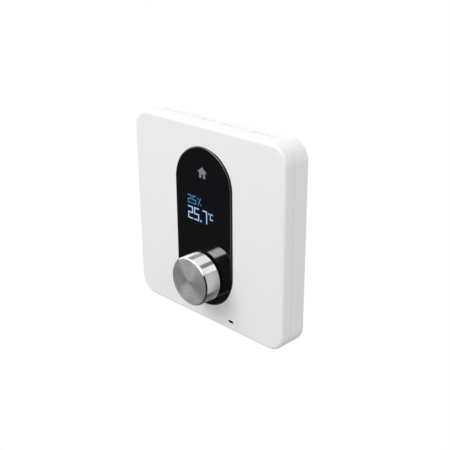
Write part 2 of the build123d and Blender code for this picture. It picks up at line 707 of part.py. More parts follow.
with BuildPart() as voltage_regulator:
    with BuildSketch(front(BOARD_FRONT, *REGULATOR_AT)):
        Rectangle(*REGULATOR)
    extrude(amount=REGULATOR_T)
    chamfer(voltage_regulator.faces().sort_by(Axis.Y)[0].edges(), 0.25)
save(voltage_regulator, "voltage_regulator")

with BuildPart() as bus_transceiver:
    with BuildSketch(front(BOARD_FRONT, *TRANSCEIVER_AT)):
        Rectangle(*TRANSCEIVER)
    extrude(amount=TRANSCEIVER_T)
    chamfer(bus_transceiver.faces().sort_by(Axis.Y)[0].edges(), 0.2)
save(bus_transceiver, "bus_transceiver")

with BuildPart() as power_inductor:
    with BuildSketch(front(BOARD_FRONT, *INDUCTOR_AT)):
        Rectangle(INDUCTOR, INDUCTOR)
    extrude(amount=INDUCTOR_T)
    fillet(power_inductor.edges().filter_by(Axis.Y), INDUCTOR_R)
save(power_inductor, "power_inductor")

with BuildPart() as chip_capacitors:
    with BuildSketch(front(BOARD_FRONT)):
        with Locations(*CAPACITORS_AT):
            with GridLocations(3.5, 4, 3, 2):
                Rectangle(*CAPACITOR)
    extrude(amount=CAPACITOR_T)
save(chip_capacitors, "chip_capacitors")

with BuildPart() as chip_resistors:
    with BuildSketch(front(BOARD_FRONT, *RESISTORS_AT)):
        with GridLocations(2.5, 5, 4, 3):
            Rectangle(*RESISTOR)
    extrude(amount=RESISTOR_T)
save(chip_resistors, "chip_resistors")


# Terminal block on the back of the board: screws face the wall, and wires enter from above.
with BuildPart() as terminal_block:
    with BuildSketch(front(BLOCK_REAR, z=span(BLOCK_LOW, BLOCK_TOP))):
        Rectangle(BLOCK_W, BLOCK_TOP - BLOCK_LOW)
    extrude(amount=BOARD_REAR - BLOCK_REAR)
    chamfer(terminal_block.faces().sort_by(Axis.Y)[-1].edges(), BLOCK_CHAMFER)
    with BuildSketch(front(BLOCK_REAR, z=WELL_Z)):
        with Locations(*[(x, 0) for x in WAYS_X]):
            Circle(WELL_R)
    extrude(amount=WELL, mode=Mode.SUBTRACT)
    with BuildSketch(Plane.XY.offset(BLOCK_TOP)):
        with Locations(*[(x, -WIRE_DEPTH) for x in WAYS_X]):
            Rectangle(*WIRE_MOUTH)
    extrude(amount=-WIRE_REACH, mode=Mode.SUBTRACT)
save(terminal_block, "terminal_block")

with BuildPart() as terminal_screws:
    with BuildSketch(front(SCREW_SEAT, z=WELL_Z)):
        with Locations(*[(x, 0) for x in WAYS_X]):
            Circle(SCREW_R)
    extrude(amount=SCREW_LENGTH)
    with BuildSketch(front(SCREW_SEAT, z=WELL_Z)):
        with Locations(*[(x, 0) for x in WAYS_X]):
            Rectangle(*SCREW_NICK)
    extrude(amount=SCREW_NICK_DEPTH, mode=Mode.SUBTRACT)
save(terminal_screws, "terminal_screws")

with BuildPart() as terminal_clamps:
    with BuildSketch(Plane.XY.offset(CLAMP_LOW)):
        with Locations(*[(x, -WIRE_DEPTH) for x in WAYS_X]):
            Rectangle(*CLAMP)
            Rectangle(*CLAMP_HOLE, mode=Mode.SUBTRACT)
    extrude(amount=CLAMP_HEIGHT)
save(terminal_clamps, "terminal_clamps")


# Air sensor, and the soft collar that joins it to the slot and lines the slot with a spout.
with BuildPart() as humidity_sensor:
    with BuildSketch(front(BOARD_FRONT, SLOT_X, SENSOR_Z)):
        Rectangle(SENSOR, SENSOR)
    extrude(amount=SENSOR_T)
    with BuildSketch(front(BOARD_FRONT + SENSOR_T, SLOT_X, SENSOR_Z)):
        Circle(SENSOR_PORT_R)
    extrude(amount=-SENSOR_PORT, mode=Mode.SUBTRACT)
save(humidity_sensor, "humidity_sensor")

with BuildPart() as sensor_collar:
    with BuildSketch(front(BOARD_FRONT, SLOT_X, COLLAR_Z)):
        RectangleRounded(*COLLAR, COLLAR_R)
    extrude(amount=FACE_REAR - BOARD_FRONT)
    with BuildSketch(front(FACE_REAR, SLOT_X, SLOT_Z)):
        SlotOverall(SLOT_W - 2 * SPOUT_GAP, SLOT_H - 2 * SPOUT_GAP)
    extrude(amount=SPOUT_FRONT - FACE_REAR)
    with BuildSketch(front(BOARD_FRONT, SLOT_X, COLLAR_Z)):
        RectangleRounded(*COLLAR_BORE, COLLAR_BORE_R)
    extrude(amount=FACE_REAR - COLLAR_WEB - BOARD_FRONT, mode=Mode.SUBTRACT)
    with BuildSketch(front(FACE_REAR - COLLAR_WEB, SLOT_X, SLOT_Z)):
        SlotOverall(SLOT_W - 2 * SPOUT_GAP - 2 * SPOUT_WALL, SLOT_H - 2 * SPOUT_GAP - 2 * SPOUT_WALL)
    extrude(amount=SPOUT_FRONT - FACE_REAR + COLLAR_WEB, mode=Mode.SUBTRACT)
save(sensor_collar, "sensor_collar")
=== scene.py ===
# %% [markdown]
# # A square wall thermostat
# The thermostat is a thin white case with a black glass lens, a small lit display and a turned
# aluminium knob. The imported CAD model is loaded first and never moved. New pieces are built round
# its sizes, every surface gets a procedural finish, and soft light comes last.

# %% Load the frame
import math
import json

import bmesh
import bpy
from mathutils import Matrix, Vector


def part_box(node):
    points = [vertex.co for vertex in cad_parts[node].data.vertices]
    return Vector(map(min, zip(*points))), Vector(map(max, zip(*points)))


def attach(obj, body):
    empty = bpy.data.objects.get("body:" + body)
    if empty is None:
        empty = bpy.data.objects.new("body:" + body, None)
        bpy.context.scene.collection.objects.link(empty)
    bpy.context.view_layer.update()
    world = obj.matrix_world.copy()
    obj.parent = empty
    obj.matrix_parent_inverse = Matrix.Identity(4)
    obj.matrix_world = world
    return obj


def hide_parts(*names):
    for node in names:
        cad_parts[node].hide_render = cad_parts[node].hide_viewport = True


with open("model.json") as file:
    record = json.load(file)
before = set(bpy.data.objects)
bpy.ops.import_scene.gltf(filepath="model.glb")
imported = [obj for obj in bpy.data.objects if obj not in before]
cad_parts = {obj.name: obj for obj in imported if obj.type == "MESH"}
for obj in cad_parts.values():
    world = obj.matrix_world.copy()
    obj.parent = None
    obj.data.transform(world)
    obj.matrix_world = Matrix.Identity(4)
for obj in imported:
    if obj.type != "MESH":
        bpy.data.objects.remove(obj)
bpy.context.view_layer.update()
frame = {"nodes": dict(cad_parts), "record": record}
NODES = frame["nodes"]
MM = 0.001

# %% [markdown]
# Sizes come from the CAD nodes' own boxes, so a piece that is rebuilt here lands where the frame has
# it. Depth runs along -Y, from the wall to the room, so the low Y of a box is its front.

# %% Sizes read from the frame
LENS_LOW, LENS_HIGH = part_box("display_lens")
KNOB_LOW, KNOB_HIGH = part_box("knob_shell")
COVER_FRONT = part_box("front_cover")[0][1]
LENS_FRONT = LENS_LOW[1]
KNOB_X = (KNOB_LOW[0] + KNOB_HIGH[0]) / 2
KNOB_Z = (KNOB_LOW[2] + KNOB_HIGH[2]) / 2
KNOB_R = (KNOB_HIGH[0] - KNOB_LOW[0]) / 2
print("knob centre", round(KNOB_X / MM, 2), round(KNOB_Z / MM, 2), "radius", round(KNOB_R / MM, 2))

# %% [markdown]
# ## Writing materials as sums
# A material is easier to read as arithmetic than as a web of nodes. `Reading` wraps one socket, and
# sums on it add the Math nodes.


# %% A socket that can be used in sums
class Reading:
    """One output socket of a material; arithmetic on it adds Math nodes."""

    def __init__(self, finish, socket):
        self.finish = finish
        self.socket = socket

    def __add__(self, other):
        return self.finish.maths("ADD", self, other)

    def __sub__(self, other):
        return self.finish.maths("SUBTRACT", self, other)

    def __rsub__(self, other):
        return self.finish.maths("SUBTRACT", other, self)

    def __mul__(self, other):
        return self.finish.maths("MULTIPLY", self, other)

    def __truediv__(self, other):
        return self.finish.maths("DIVIDE", self, other)

    def __pow__(self, other):
        return self.finish.maths("POWER", self, other)

    def __neg__(self):
        return self.finish.maths("MULTIPLY", self, -1.0)

    def __abs__(self):
        return self.finish.maths("ABSOLUTE", self)

    __radd__ = __add__
    __rmul__ = __mul__


# %% [markdown]
# `Finish` holds one material. Its `add` makes any node, and the shorter methods are the few nodes that
# come again and again: a noise, a smooth step, a mix of two colours and a bump.


# %% A material and its nodes
class Finish:
    """A node material, or the world, with helpers that return readings."""

    def __init__(self, name, owner=None):
        self.owner = owner or bpy.data.materials.new(name)
        self.owner.use_nodes = True
        self.tree = self.owner.node_tree
        self.tree.nodes.clear()

    def add(self, kind, settings=(), inputs=(), output=0):
        """Make one node: settings first, then the values or links of its sockets."""
        node = self.tree.nodes.new("ShaderNode" + kind)
        for key, value in dict(settings).items():
            setattr(node, key, value)
        for key, value in dict(inputs).items():
            if isinstance(value, Reading):
                self.tree.links.new(value.socket, node.inputs[key])
            else:
                node.inputs[key].default_value = value
        return Reading(self, node.outputs[output]) if node.outputs else node

    def maths(self, operation, *values):
        return self.add("Math", {"operation": operation}, dict(enumerate(values)))

    def vector(self, operation, *values, output=0):
        return self.add("VectorMath", {"operation": operation}, dict(enumerate(values)), output)

    def place(self):
        """Object coordinates, as a vector."""
        return self.add("TexCoord", output="Object")

    def split(self, vector):
        """The x, y and z of a vector."""
        parts = self.add("SeparateXYZ", inputs={0: vector}).socket.node
        return [Reading(self, socket) for socket in parts.outputs]

    def join(self, x, y, z):
        return self.add("CombineXYZ", inputs={0: x, 1: y, 2: z})

    def noise(self, vector, size, detail=2.0, roughness=0.5):
        """Soft noise with features of about this size, in metres."""
        inputs = {"Vector": vector, "Scale": 1.0 / size, "Detail": detail, "Roughness": roughness}
        return self.add("TexNoise", {"noise_dimensions": "3D"}, inputs)

    def ramp(self, value, low, high, start=0.0, end=1.0):
        """A smooth step from start to end while value goes from low to high."""
        inputs = {"Value": value, "From Min": low, "From Max": high, "To Min": start, "To Max": end}
        return self.add("MapRange", {"interpolation_type": "SMOOTHSTEP"}, inputs)

    def blend(self, amount, first, second):
        """A colour between two others."""
        settings = {"data_type": "RGBA", "blend_type": "MIX"}
        return self.add("Mix", settings, {0: amount, 6: first, 7: second}, output=2)

    def bump(self, height, strength, distance):
        return self.add("Bump", inputs={"Height": height, "Strength": strength, "Distance": distance})

    def surface(self, **inputs):
        """The finish's shader; names use _ for spaces."""
        named = {key.replace("_", " "): value for key, value in inputs.items()}
        shader = self.add("BsdfPrincipled", inputs=named)
        self.add("OutputMaterial", inputs={0: shader})
        return self.owner


def rgb(red, green, blue):
    return (red, green, blue, 1.0)


print("helpers ready:", Reading.__name__, Finish.__name__)


# %% [markdown]
# ## White moulded plastic
# The case is moulded in a matt white plastic. A mould for such a face is spark-eroded, which leaves a
# very fine even grain, so the grain is a bump of a fraction of a millimetre. A much wider, fainter
# noise varies the gloss, because no moulding is evenly glossy.


# %% Moulded plastics
def moulded(name, colour, gloss, grain, depth):
    finish = Finish(name)
    place = finish.place()
    fine = finish.noise(place, grain, 3.0, 0.6)
    broad = finish.noise(place, 12 * MM, 2.0)
    shade = finish.blend(broad, rgb(*[c * 0.985 for c in colour]), rgb(*colour))
    rough = gloss + (broad - 0.5) * 0.06 + (fine - 0.5) * 0.05
    relief = finish.bump(fine, 0.25, depth)
    return finish.surface(Base_Color=shade, Roughness=rough, Normal=relief, Specular_IOR_Level=0.25)


CASE_WHITE = moulded("casing_white", (0.875, 0.875, 0.868), 0.46, 0.22 * MM, 0.012 * MM)
PLATE_WHITE = moulded("plate_white", (0.80, 0.80, 0.785), 0.52, 0.35 * MM, 0.02 * MM)
BLACK_PLASTIC = moulded("black_plastic", (0.018, 0.018, 0.020), 0.42, 0.25 * MM, 0.012 * MM)
TERMINAL_GREEN = moulded("terminal_green", (0.06, 0.28, 0.12), 0.42, 0.3 * MM, 0.012 * MM)
SOCKET_CREAM = moulded("socket_cream", (0.74, 0.70, 0.58), 0.45, 0.3 * MM, 0.012 * MM)
CHIP_BLACK = moulded("chip_black", (0.022, 0.022, 0.025), 0.55, 0.12 * MM, 0.01 * MM)
FERRITE = moulded("ferrite", (0.06, 0.06, 0.066), 0.7, 0.15 * MM, 0.02 * MM)
CERAMIC = moulded("ceramic", (0.45, 0.32, 0.20), 0.5, 0.2 * MM, 0.01 * MM)
COLLAR_RUBBER = moulded("collar_rubber", (0.012, 0.012, 0.012), 0.8, 0.3 * MM, 0.02 * MM)
TAPE = moulded("tape", (0.03, 0.03, 0.03), 0.8, 0.3 * MM, 0.02 * MM)
RIBBON = moulded("ribbon", (0.55, 0.28, 0.05), 0.3, 0.8 * MM, 0.01 * MM)
PANEL_GLASS = moulded("panel_glass", (0.012, 0.014, 0.018), 0.12, 2 * MM, 0.002 * MM)
print("moulded finishes", len(bpy.data.materials))

# %% [markdown]
# ## Metals
# Small fittings are plated steel, brass or tin. Each is a metal shader whose gloss is broken up by
# noise at two sizes, which is what handling and plating do.


# %% Plated metals
def plated(name, colour, gloss):
    finish = Finish(name)
    place = finish.place()
    fine = finish.noise(place, 0.15 * MM, 4.0, 0.6)
    broad = finish.noise(place, 2.5 * MM, 3.0)
    shade = finish.blend(broad, rgb(*[c * 0.86 for c in colour]), rgb(*colour))
    rough = gloss + broad * 0.12 + fine * 0.05
    relief = finish.bump(fine, 0.2, 0.006 * MM)
    return finish.surface(Base_Color=shade, Metallic=1.0, Roughness=rough, Normal=relief)


STEEL = plated("steel", (0.66, 0.66, 0.67), 0.22)
BRASS = plated("brass", (0.78, 0.60, 0.30), 0.24)
TIN = plated("tin", (0.74, 0.74, 0.73), 0.32)
print("with the plated ones", len(bpy.data.materials))

# %% [markdown]
# ## Turned aluminium
# The knob is turned on a lathe. The tool leaves fine rings round the axis on the face and on the
# side. The rings are too fine to model, but each one tips the surface a little towards or away from
# the axis, so the normal is tipped by a noise that depends on the radius alone (on the face) or on
# the depth alone (on the side). That spread is what draws the bright and dark fans on the face. The
# side's normal also leans 25 to 30 degrees towards the room. That is a choice of shading and not the
# shape, which is a true cylinder: it makes the side mirror the panels in front, and their edges draw
# its long bands.


# %% Aluminium with turning marks
def turned(name, ring_pitch, face_tip, side_tip, gloss):
    finish = Finish(name)
    x, y, z = finish.split(finish.place())
    across = x - KNOB_X
    up = z - KNOB_Z
    radius = (across * across + up * up) ** 0.5
    normal = finish.add("NewGeometry", output="Normal")
    facing = abs(finish.split(normal)[1])
    on_face = finish.ramp(facing, 0.90, 0.99)
    on_side = finish.ramp(facing, 0.10, 0.01)
    rings = finish.noise(finish.join(radius, 0.0, 0.0), ring_pitch, 1.0) - 0.5
    bands = finish.noise(finish.join(0.0, y, 3.0), ring_pitch, 1.0) - 0.5
    lean = finish.ramp(y, KNOB_HIGH[1], KNOB_LOW[1], 0.46, 0.58)
    tip_out = rings * on_face * face_tip / (radius + 0.2 * MM)
    tip_along = (bands * side_tip - lean) * on_side
    tips = finish.join(across * tip_out, tip_along, up * tip_out)
    tipped = finish.vector("NORMALIZE", finish.vector("ADD", normal, tips))
    streaks = finish.noise(finish.join(radius * on_face, y * on_side, facing), 0.9 * MM, 4.0, 0.7)
    shade = finish.blend(streaks, rgb(0.80, 0.81, 0.83), rgb(0.89, 0.895, 0.90))
    rough = gloss + on_face * 0.20 + (streaks - 0.5) * 0.08
    return finish.surface(Base_Color=shade, Metallic=1.0, Roughness=rough, Normal=tipped)


KNOB_METAL = turned("knob_aluminium", 0.06 * MM, 3.4, 0.5, 0.10)
print("materials so far", len(bpy.data.materials))

# %% [markdown]
# ## The lens and what it shows
# The lens is black glass with a small display behind it. The lit figures and the printed house are
# drawn in the lens's own material, so they lie under its gloss. A figure is made of straight bars,
# as on a segment display, and a bar is the set of points within a half width and a half height of
# its middle. Taking the nearest bar gives one distance for the whole display.

# %% Where the figures are
FIGURES_LEFT = -8.85 * MM
SMALL_BASE = 9.33 * MM
SMALL_BAR = 0.36 * MM
LARGE_BASE = 2.48 * MM
LARGE_BAR = 0.56 * MM
UNIT_BASE = 4.73 * MM
UNIT_BAR = 0.42 * MM
SEGMENTS = {"2": "abged", "5": "afgcd", "7": "abc", "C": "afed"}


def figure_bars(letter, left, base, width, height, bar):
    """Bars (centre x, centre z, half width, half height) of one figure."""
    mid_x = left + width / 2
    top = base + height
    half = bar / 2
    flat = (width / 2, half)
    tall = (half, height / 4)
    spots = {
        "a": (mid_x, top - half, *flat),
        "g": (mid_x, base + height / 2, *flat),
        "d": (mid_x, base + half, *flat),
        "b": (left + width - half, base + height * 0.75, *tall),
        "c": (left + width - half, base + height * 0.25, *tall),
        "f": (left + half, base + height * 0.75, *tall),
        "e": (left + half, base + height * 0.25, *tall),
    }
    return [spots[segment] for segment in SEGMENTS[letter]]


def display_bars():
    """Bars of the small line and of the large line."""
    small = []
    for place, letter in enumerate("25"):
        left = FIGURES_LEFT + place * 2.8 * MM
        small += figure_bars(letter, left, SMALL_BASE, 2.1 * MM, 3.6 * MM, SMALL_BAR)
    large = []
    for letter, step, width in (("2", 0.0, 2.95), ("5", 3.6, 2.95), ("7", 8.7, 2.6)):
        left = FIGURES_LEFT + step * MM
        large += figure_bars(letter, left, LARGE_BASE, width * MM, 5.55 * MM, LARGE_BAR)
    large += figure_bars("C", FIGURES_LEFT + 13.0 * MM, UNIT_BASE, 1.7 * MM, 2.75 * MM, UNIT_BAR)
    decimal_point = (FIGURES_LEFT + 7.7 * MM, 2.88 * MM, 0.40 * MM, 0.36 * MM)
    degree_sign = (FIGURES_LEFT + 12.2 * MM, 7.28 * MM, 0.32 * MM, 0.32 * MM)
    return small, large + [decimal_point, degree_sign]


SMALL_BARS, LARGE_BARS = display_bars()
print("bars in the small line", len(SMALL_BARS), "and in the large line", len(LARGE_BARS))

# %% [markdown]
# The display reads a humidity of 25% in small dim figures above a temperature of 25.7 degrees in
# large bright ones. The house is a plain mark for a home control. Each mark is a distance that is
# negative inside it, so a narrow step across zero draws it with a clean edge.

# %% Marks on the lens
SIGN_X = -1.95 * MM
SIGN_Z = 11.13 * MM
SIGN_SLANT = 0.45
SIGN_DOT = 0.26 * MM
HOUSE_Z = 24.03 * MM


def nearest(finish, x, z, bars):
    """Distance from (x, z) to the nearest of these bars; negative inside one."""
    best = None
    for mid_x, mid_z, half_x, half_z in bars:
        gap = finish.maths("MAXIMUM", abs(x - mid_x) - half_x, abs(z - mid_z) - half_z)
        best = gap if best is None else finish.maths("MINIMUM", best, gap)
    return best


def per_cent_sign(finish, x, z):
    """Distance from (x, z) to a slanted bar and its two dots."""
    across = x - SIGN_X
    up = z - SIGN_Z
    bar = finish.maths("MAXIMUM", abs(across - up * SIGN_SLANT) - 0.22 * MM, abs(up) - 1.5 * MM)
    dots = nearest(finish, across, up, [
        (-0.8 * MM, 1.1 * MM, SIGN_DOT, SIGN_DOT), (0.8 * MM, -1.3 * MM, SIGN_DOT, SIGN_DOT),
    ])
    return finish.maths("MINIMUM", bar, dots)


def house_mark(finish, x, z):
    """Distance to a square body with a pitched roof over it and a doorway cut out of it."""
    across = abs(x)
    up = z - HOUSE_Z
    body = finish.maths("MAXIMUM", across - 1.7 * MM, abs(up + 1.0 * MM) - 1.35 * MM)
    roof = finish.maths("MAXIMUM", across * 0.78 + up - 2.35 * MM, 0.1 * MM - up)
    roof = finish.maths("MAXIMUM", roof, across - 2.75 * MM)
    door = finish.maths("MAXIMUM", across - 0.5 * MM, abs(up + 1.6 * MM) - 0.9 * MM)
    return finish.maths("MAXIMUM", finish.maths("MINIMUM", body, roof), -door)


# %% [markdown]
# The lit figures are an emission with a faint blue halo, and the house is a pale print. Both stop at
# the front face. The face is polished, with a coat that mirrors more strongly than plain glass, as a
# part-silvered lens does. The gloss fades out round the bevel, so the rim and its undercut stay dark.

# %% The lens material
EDGE_BLUR = 0.09 * MM
PRINT_BLUR = 0.05 * MM
HALO_REACH = 1.1 * MM


def display_glow(finish, x, z):
    """Colour of the light from the display at (x, z)."""
    near_small = nearest(finish, x, z, SMALL_BARS)
    near_small = finish.maths("MINIMUM", near_small, per_cent_sign(finish, x, z))
    near_large = nearest(finish, x, z, LARGE_BARS)
    halo = finish.ramp(finish.maths("MINIMUM", near_small, near_large), HALO_REACH, 0.0) ** 2.0
    glow = finish.blend(halo, rgb(0, 0, 0), rgb(0.0, 0.010, 0.045))
    glow = finish.blend(finish.ramp(near_small, EDGE_BLUR, -EDGE_BLUR), glow, rgb(0.13, 0.35, 0.62))
    return finish.blend(finish.ramp(near_large, EDGE_BLUR, -EDGE_BLUR), glow, rgb(0.55, 0.80, 1.15))


def lens_glass():
    finish = Finish("lens_black")
    x, y, z = finish.split(finish.place())
    on_front = finish.ramp(y, LENS_FRONT + 0.3 * MM, LENS_FRONT + 0.1 * MM)
    glow = finish.blend(on_front, rgb(0, 0, 0), display_glow(finish, x, z))
    printed = finish.ramp(house_mark(finish, x, z), PRINT_BLUR, -PRINT_BLUR) * on_front
    shade = finish.blend(printed, rgb(0.0035, 0.004, 0.005), rgb(0.31, 0.32, 0.34))
    facing = abs(finish.split(finish.add("NewGeometry", output="Normal"))[1])
    polished = finish.ramp(facing, 0.72, 0.97)
    dust = finish.noise(finish.place(), 6 * MM, 4.0, 0.6)
    rough = 0.40 - polished * 0.36 + dust * 0.03
    return finish.surface(
        Base_Color=shade, Roughness=rough, Specular_IOR_Level=0.3, Coat_Weight=polished,
        Coat_Roughness=0.02, Coat_IOR=3.0, Emission_Color=glow, Emission_Strength=1.0,
    )


LENS_GLASS = lens_glass()
print("lens material has", len(LENS_GLASS.node_tree.nodes), "nodes")

# %% [markdown]
# ## Circuit board
# A board is green lacquer over copper tracks, so its colour is a little lighter over the copper. A
# brick pattern stands in for the tracks: its bricks are the copper and its mortar the gaps.

# %% Board lacquer
TRACKS_PER_METRE = 900.0


def lacquer():
    finish = Finish("board_green")
    x, y, z = finish.split(finish.place())
    lines = finish.add("TexBrick", {"offset": 0.35}, {
        "Vector": finish.join(x * TRACKS_PER_METRE, z * TRACKS_PER_METRE, 0.0),
        "Color1": rgb(1, 1, 1), "Color2": rgb(0.5, 0.5, 0.5), "Mortar": rgb(0, 0, 0), "Mortar Size": 0.09,
    }, output="Fac")
    shade = finish.blend(lines, rgb(0.012, 0.115, 0.045), rgb(0.022, 0.19, 0.075))
    relief = finish.bump(lines, 0.3, 0.03 * MM)
    return finish.surface(Base_Color=shade, Roughness=0.32, Normal=relief)


BOARD_GREEN = lacquer()
print("board finish has", len(BOARD_GREEN.node_tree.nodes), "nodes")

# %% [markdown]
# ## Finishes on the CAD pieces
# Most pieces are right as the frame has them, and only take a finish.

# %% Put the finishes on
BY_SLOT = {
    "casing_white": CASE_WHITE, "plate_white": PLATE_WHITE, "lens_black": LENS_GLASS, "tape": TAPE,
    "knob_aluminium": KNOB_METAL, "steel": STEEL, "brass": BRASS, "tin": TIN,
    "board_green": BOARD_GREEN, "chip_black": CHIP_BLACK, "ferrite": FERRITE, "ceramic": CERAMIC,
    "black_plastic": BLACK_PLASTIC, "panel_glass": PANEL_GLASS, "ribbon": RIBBON,
    "socket_cream": SOCKET_CREAM, "terminal_green": TERMINAL_GREEN, "collar_rubber": COLLAR_RUBBER,
}
for entry in frame["record"]["subparts"]:
    node = NODES[entry["node"]]
    coat = BY_SLOT[entry["material_slot"]]
    if not node.material_slots:
        node.data.materials.append(coat)
    for place in node.material_slots:
        place.material = coat

# %% [markdown]
# ## Tools for modelling
# Operators act on what is selected, so each piece starts with nothing selected. Faces and edges are
# found by where they are and which way they face.

# %% Helpers
TOUCH = 1e-6
CIRCLE_STEPS = 256


def clear_selection():
    if bpy.context.object and bpy.context.object.mode != "OBJECT":
        bpy.ops.object.mode_set(mode="OBJECT")
    bpy.ops.object.select_all(action="DESELECT")


def add_disc(radius, depth, middle, steps=CIRCLE_STEPS):
    """Add a cylinder whose axis runs from the wall to the room."""
    bpy.ops.mesh.primitive_cylinder_add(
        vertices=steps, radius=radius, depth=depth, rotation=(math.radians(90), 0, 0), location=middle,
    )


def start(name):
    """Name the primitive that was just added, and settle its place into its mesh."""
    piece = bpy.context.object
    piece.name = name
    bpy.ops.object.transform_apply(location=True, rotation=True, scale=True)
    return piece


def pick(piece, kind, test):
    """In edit mode, select the faces or edges that pass the test."""
    bpy.ops.object.mode_set(mode="EDIT")
    bpy.ops.mesh.select_mode(type=kind)
    bpy.ops.mesh.select_all(action="DESELECT")
    mesh = bmesh.from_edit_mesh(piece.data)
    for item in mesh.faces if kind == "FACE" else mesh.edges:
        if test(item):
            item.select_set(True)
    bmesh.update_edit_mesh(piece.data)


def looks_front(face):
    return face.normal.y < -0.9


def looks_back(face):
    return face.normal.y > 0.9


def settle(piece, material, body, node, angle=30):
    """Smooth a finished piece, give it its finish and its body, and hide the CAD node it stands for."""
    bpy.ops.object.mode_set(mode="OBJECT")
    bpy.ops.object.shade_smooth_by_angle(angle=math.radians(angle))
    bpy.ops.object.modifier_add(type="WEIGHTED_NORMAL")
    piece.modifiers[-1].keep_sharp = True
    bpy.ops.object.modifier_apply(modifier=piece.modifiers[-1].name)
    piece.data.materials.clear()
    piece.data.materials.append(material)
    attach(piece, body)
    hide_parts(node)
    print(piece.name, len(piece.data.polygons), "faces")


# %% [markdown]
# ## The knob's shell
# The shell is a cup turned from bar: a cylinder whose front edge is chamfered and whose back is
# bored out. The chamfer's two edges are broken by a few hundredths of a millimetre, and those thin
# lines catch the light as on the real one.

# %% Knob shell
KNOB_DEPTH = KNOB_HIGH[1] - KNOB_LOW[1]
CHAMFER = 0.55 * MM
EDGE_BREAK = 0.05 * MM
SIDE_WALL = 0.9 * MM
FACE_WALL = 1.2 * MM


def rim(radius, depth):
    """A test for the ring of edges at this radius and depth."""
    def test(edge):
        first, second = edge.verts[0].co, edge.verts[1].co
        middle = (first + second) / 2
        far = math.hypot(middle.x - KNOB_X, middle.z - KNOB_Z)
        along_ring = abs(first.y - second.y) < TOUCH and edge.calc_length() < 1 * MM
        return along_ring and abs(far - radius) < 0.02 * MM and abs(middle.y - depth) < 0.02 * MM
    return test


clear_selection()
add_disc(KNOB_R, KNOB_DEPTH, (KNOB_X, (KNOB_LOW[1] + KNOB_HIGH[1]) / 2, KNOB_Z))
knob = start("turned_knob_shell")
pick(knob, "FACE", looks_front)
bpy.ops.mesh.inset(thickness=CHAMFER)
pick(knob, "FACE", looks_back)
bpy.ops.mesh.inset(thickness=SIDE_WALL)
bpy.ops.mesh.extrude_region_move(TRANSFORM_OT_translate={"value": (0, -(KNOB_DEPTH - FACE_WALL), 0)})
# The outer ring steps back by the chamfer's depth, which slopes the ring that was inset.
pick(knob, "EDGE", rim(KNOB_R, KNOB_LOW[1]))
bpy.ops.transform.translate(value=(0, CHAMFER, 0))
for radius, depth in ((KNOB_R, KNOB_LOW[1] + CHAMFER), (KNOB_R - CHAMFER, KNOB_LOW[1])):
    pick(knob, "EDGE", rim(radius, depth))
    bpy.ops.mesh.bevel(offset=EDGE_BREAK, segments=2, affect="EDGES")
settle(knob, KNOB_METAL, "knob", "knob_shell", angle=25)

# %% [markdown]
# ## The lens
# The lens is a slab of glass with round ends. Its rim hangs a little over the cover, so no gap shows
# beside it: the rim is undercut at a slope down to a foot that fills the opening. The front edge is
# ground to a soft bevel. A cylinder pulled apart into two halves gives the stadium, its back is inset
# and raised for the slope and then extruded for the foot, and the bushing's hole is cut last.

# %% Lens
LENS_R = (LENS_HIGH[0] - LENS_LOW[0]) / 2
LENS_THICK = LENS_HIGH[1] - LENS_LOW[1]
LENS_STRETCH = (LENS_HIGH[2] - LENS_LOW[2]) / 2 - LENS_R
RIM_WIDTH = 0.9 * MM
RIM_RISE = 1.0 * MM
LAND = COVER_FRONT - RIM_RISE - LENS_FRONT
HOLE_R = 3.8 * MM
LENS_BEVEL = 0.45 * MM
print("lens land", round(LAND / MM, 3), "stretch", round(LENS_STRETCH / MM, 3))
clear_selection()
add_disc(LENS_R, LAND, (0, LENS_FRONT + LAND / 2, 0))
lens = start("undercut_lens")
bpy.ops.object.mode_set(mode="EDIT")
mesh = bmesh.from_edit_mesh(lens.data)
for vertex in mesh.verts:
    if abs(vertex.co.z) > TOUCH:
        vertex.co.z += math.copysign(LENS_STRETCH, vertex.co.z)
bmesh.update_edit_mesh(lens.data)
pick(lens, "EDGE", lambda edge: all(abs(vertex.co.y - LENS_FRONT) < TOUCH for vertex in edge.verts))
bpy.ops.mesh.bevel(offset=LENS_BEVEL, segments=5, affect="EDGES", profile=0.5)
pick(lens, "FACE", looks_back)
bpy.ops.mesh.inset(thickness=RIM_WIDTH, depth=RIM_RISE)
bpy.ops.mesh.extrude_region_move(TRANSFORM_OT_translate={"value": (0, LENS_HIGH[1] - COVER_FRONT, 0)})
bpy.ops.object.mode_set(mode="OBJECT")
clear_selection()
add_disc(HOLE_R, 4 * LENS_THICK, (KNOB_X, LENS_FRONT, KNOB_Z), steps=96)
cutter = start("hole_cutter")
bpy.context.view_layer.objects.active = lens
cut = lens.modifiers.new("hole", "BOOLEAN")
cut.operation = "DIFFERENCE"
cut.object = cutter
bpy.ops.object.modifier_apply(modifier="hole")
bpy.data.objects.remove(cutter)
clear_selection()
lens.select_set(True)
bpy.context.view_layer.objects.active = lens
settle(lens, LENS_GLASS, "unit", "display_lens", angle=20)
# The lens is left out of the shadows and of the bounced light, so that its raised rim doesn't draw a
# grey edge on the cover. That too is a choice of shading: a real rim darkens the cover a little.
lens.visible_shadow = False
lens.visible_diffuse = False

# %% [markdown]
# ## Floor, world and light
# The floor is plain white to the eye, and it takes no part in the light.

# %% Floor
clear_selection()
bpy.ops.mesh.primitive_plane_add(size=12, location=(0, 0, -0.5))
floor = start("studio_floor")
paint = Finish("floor_white")
glow = paint.add("Emission", inputs={"Color": rgb(1, 1, 1), "Strength": 1.0})
paint.add("OutputMaterial", inputs={0: glow})
floor.data.materials.append(paint.owner)
for rays in ("visible_diffuse", "visible_glossy", "visible_transmission", "visible_shadow"):
    setattr(floor, rays, False)
print("floor under the part at", floor.bound_box[0][2], "m")

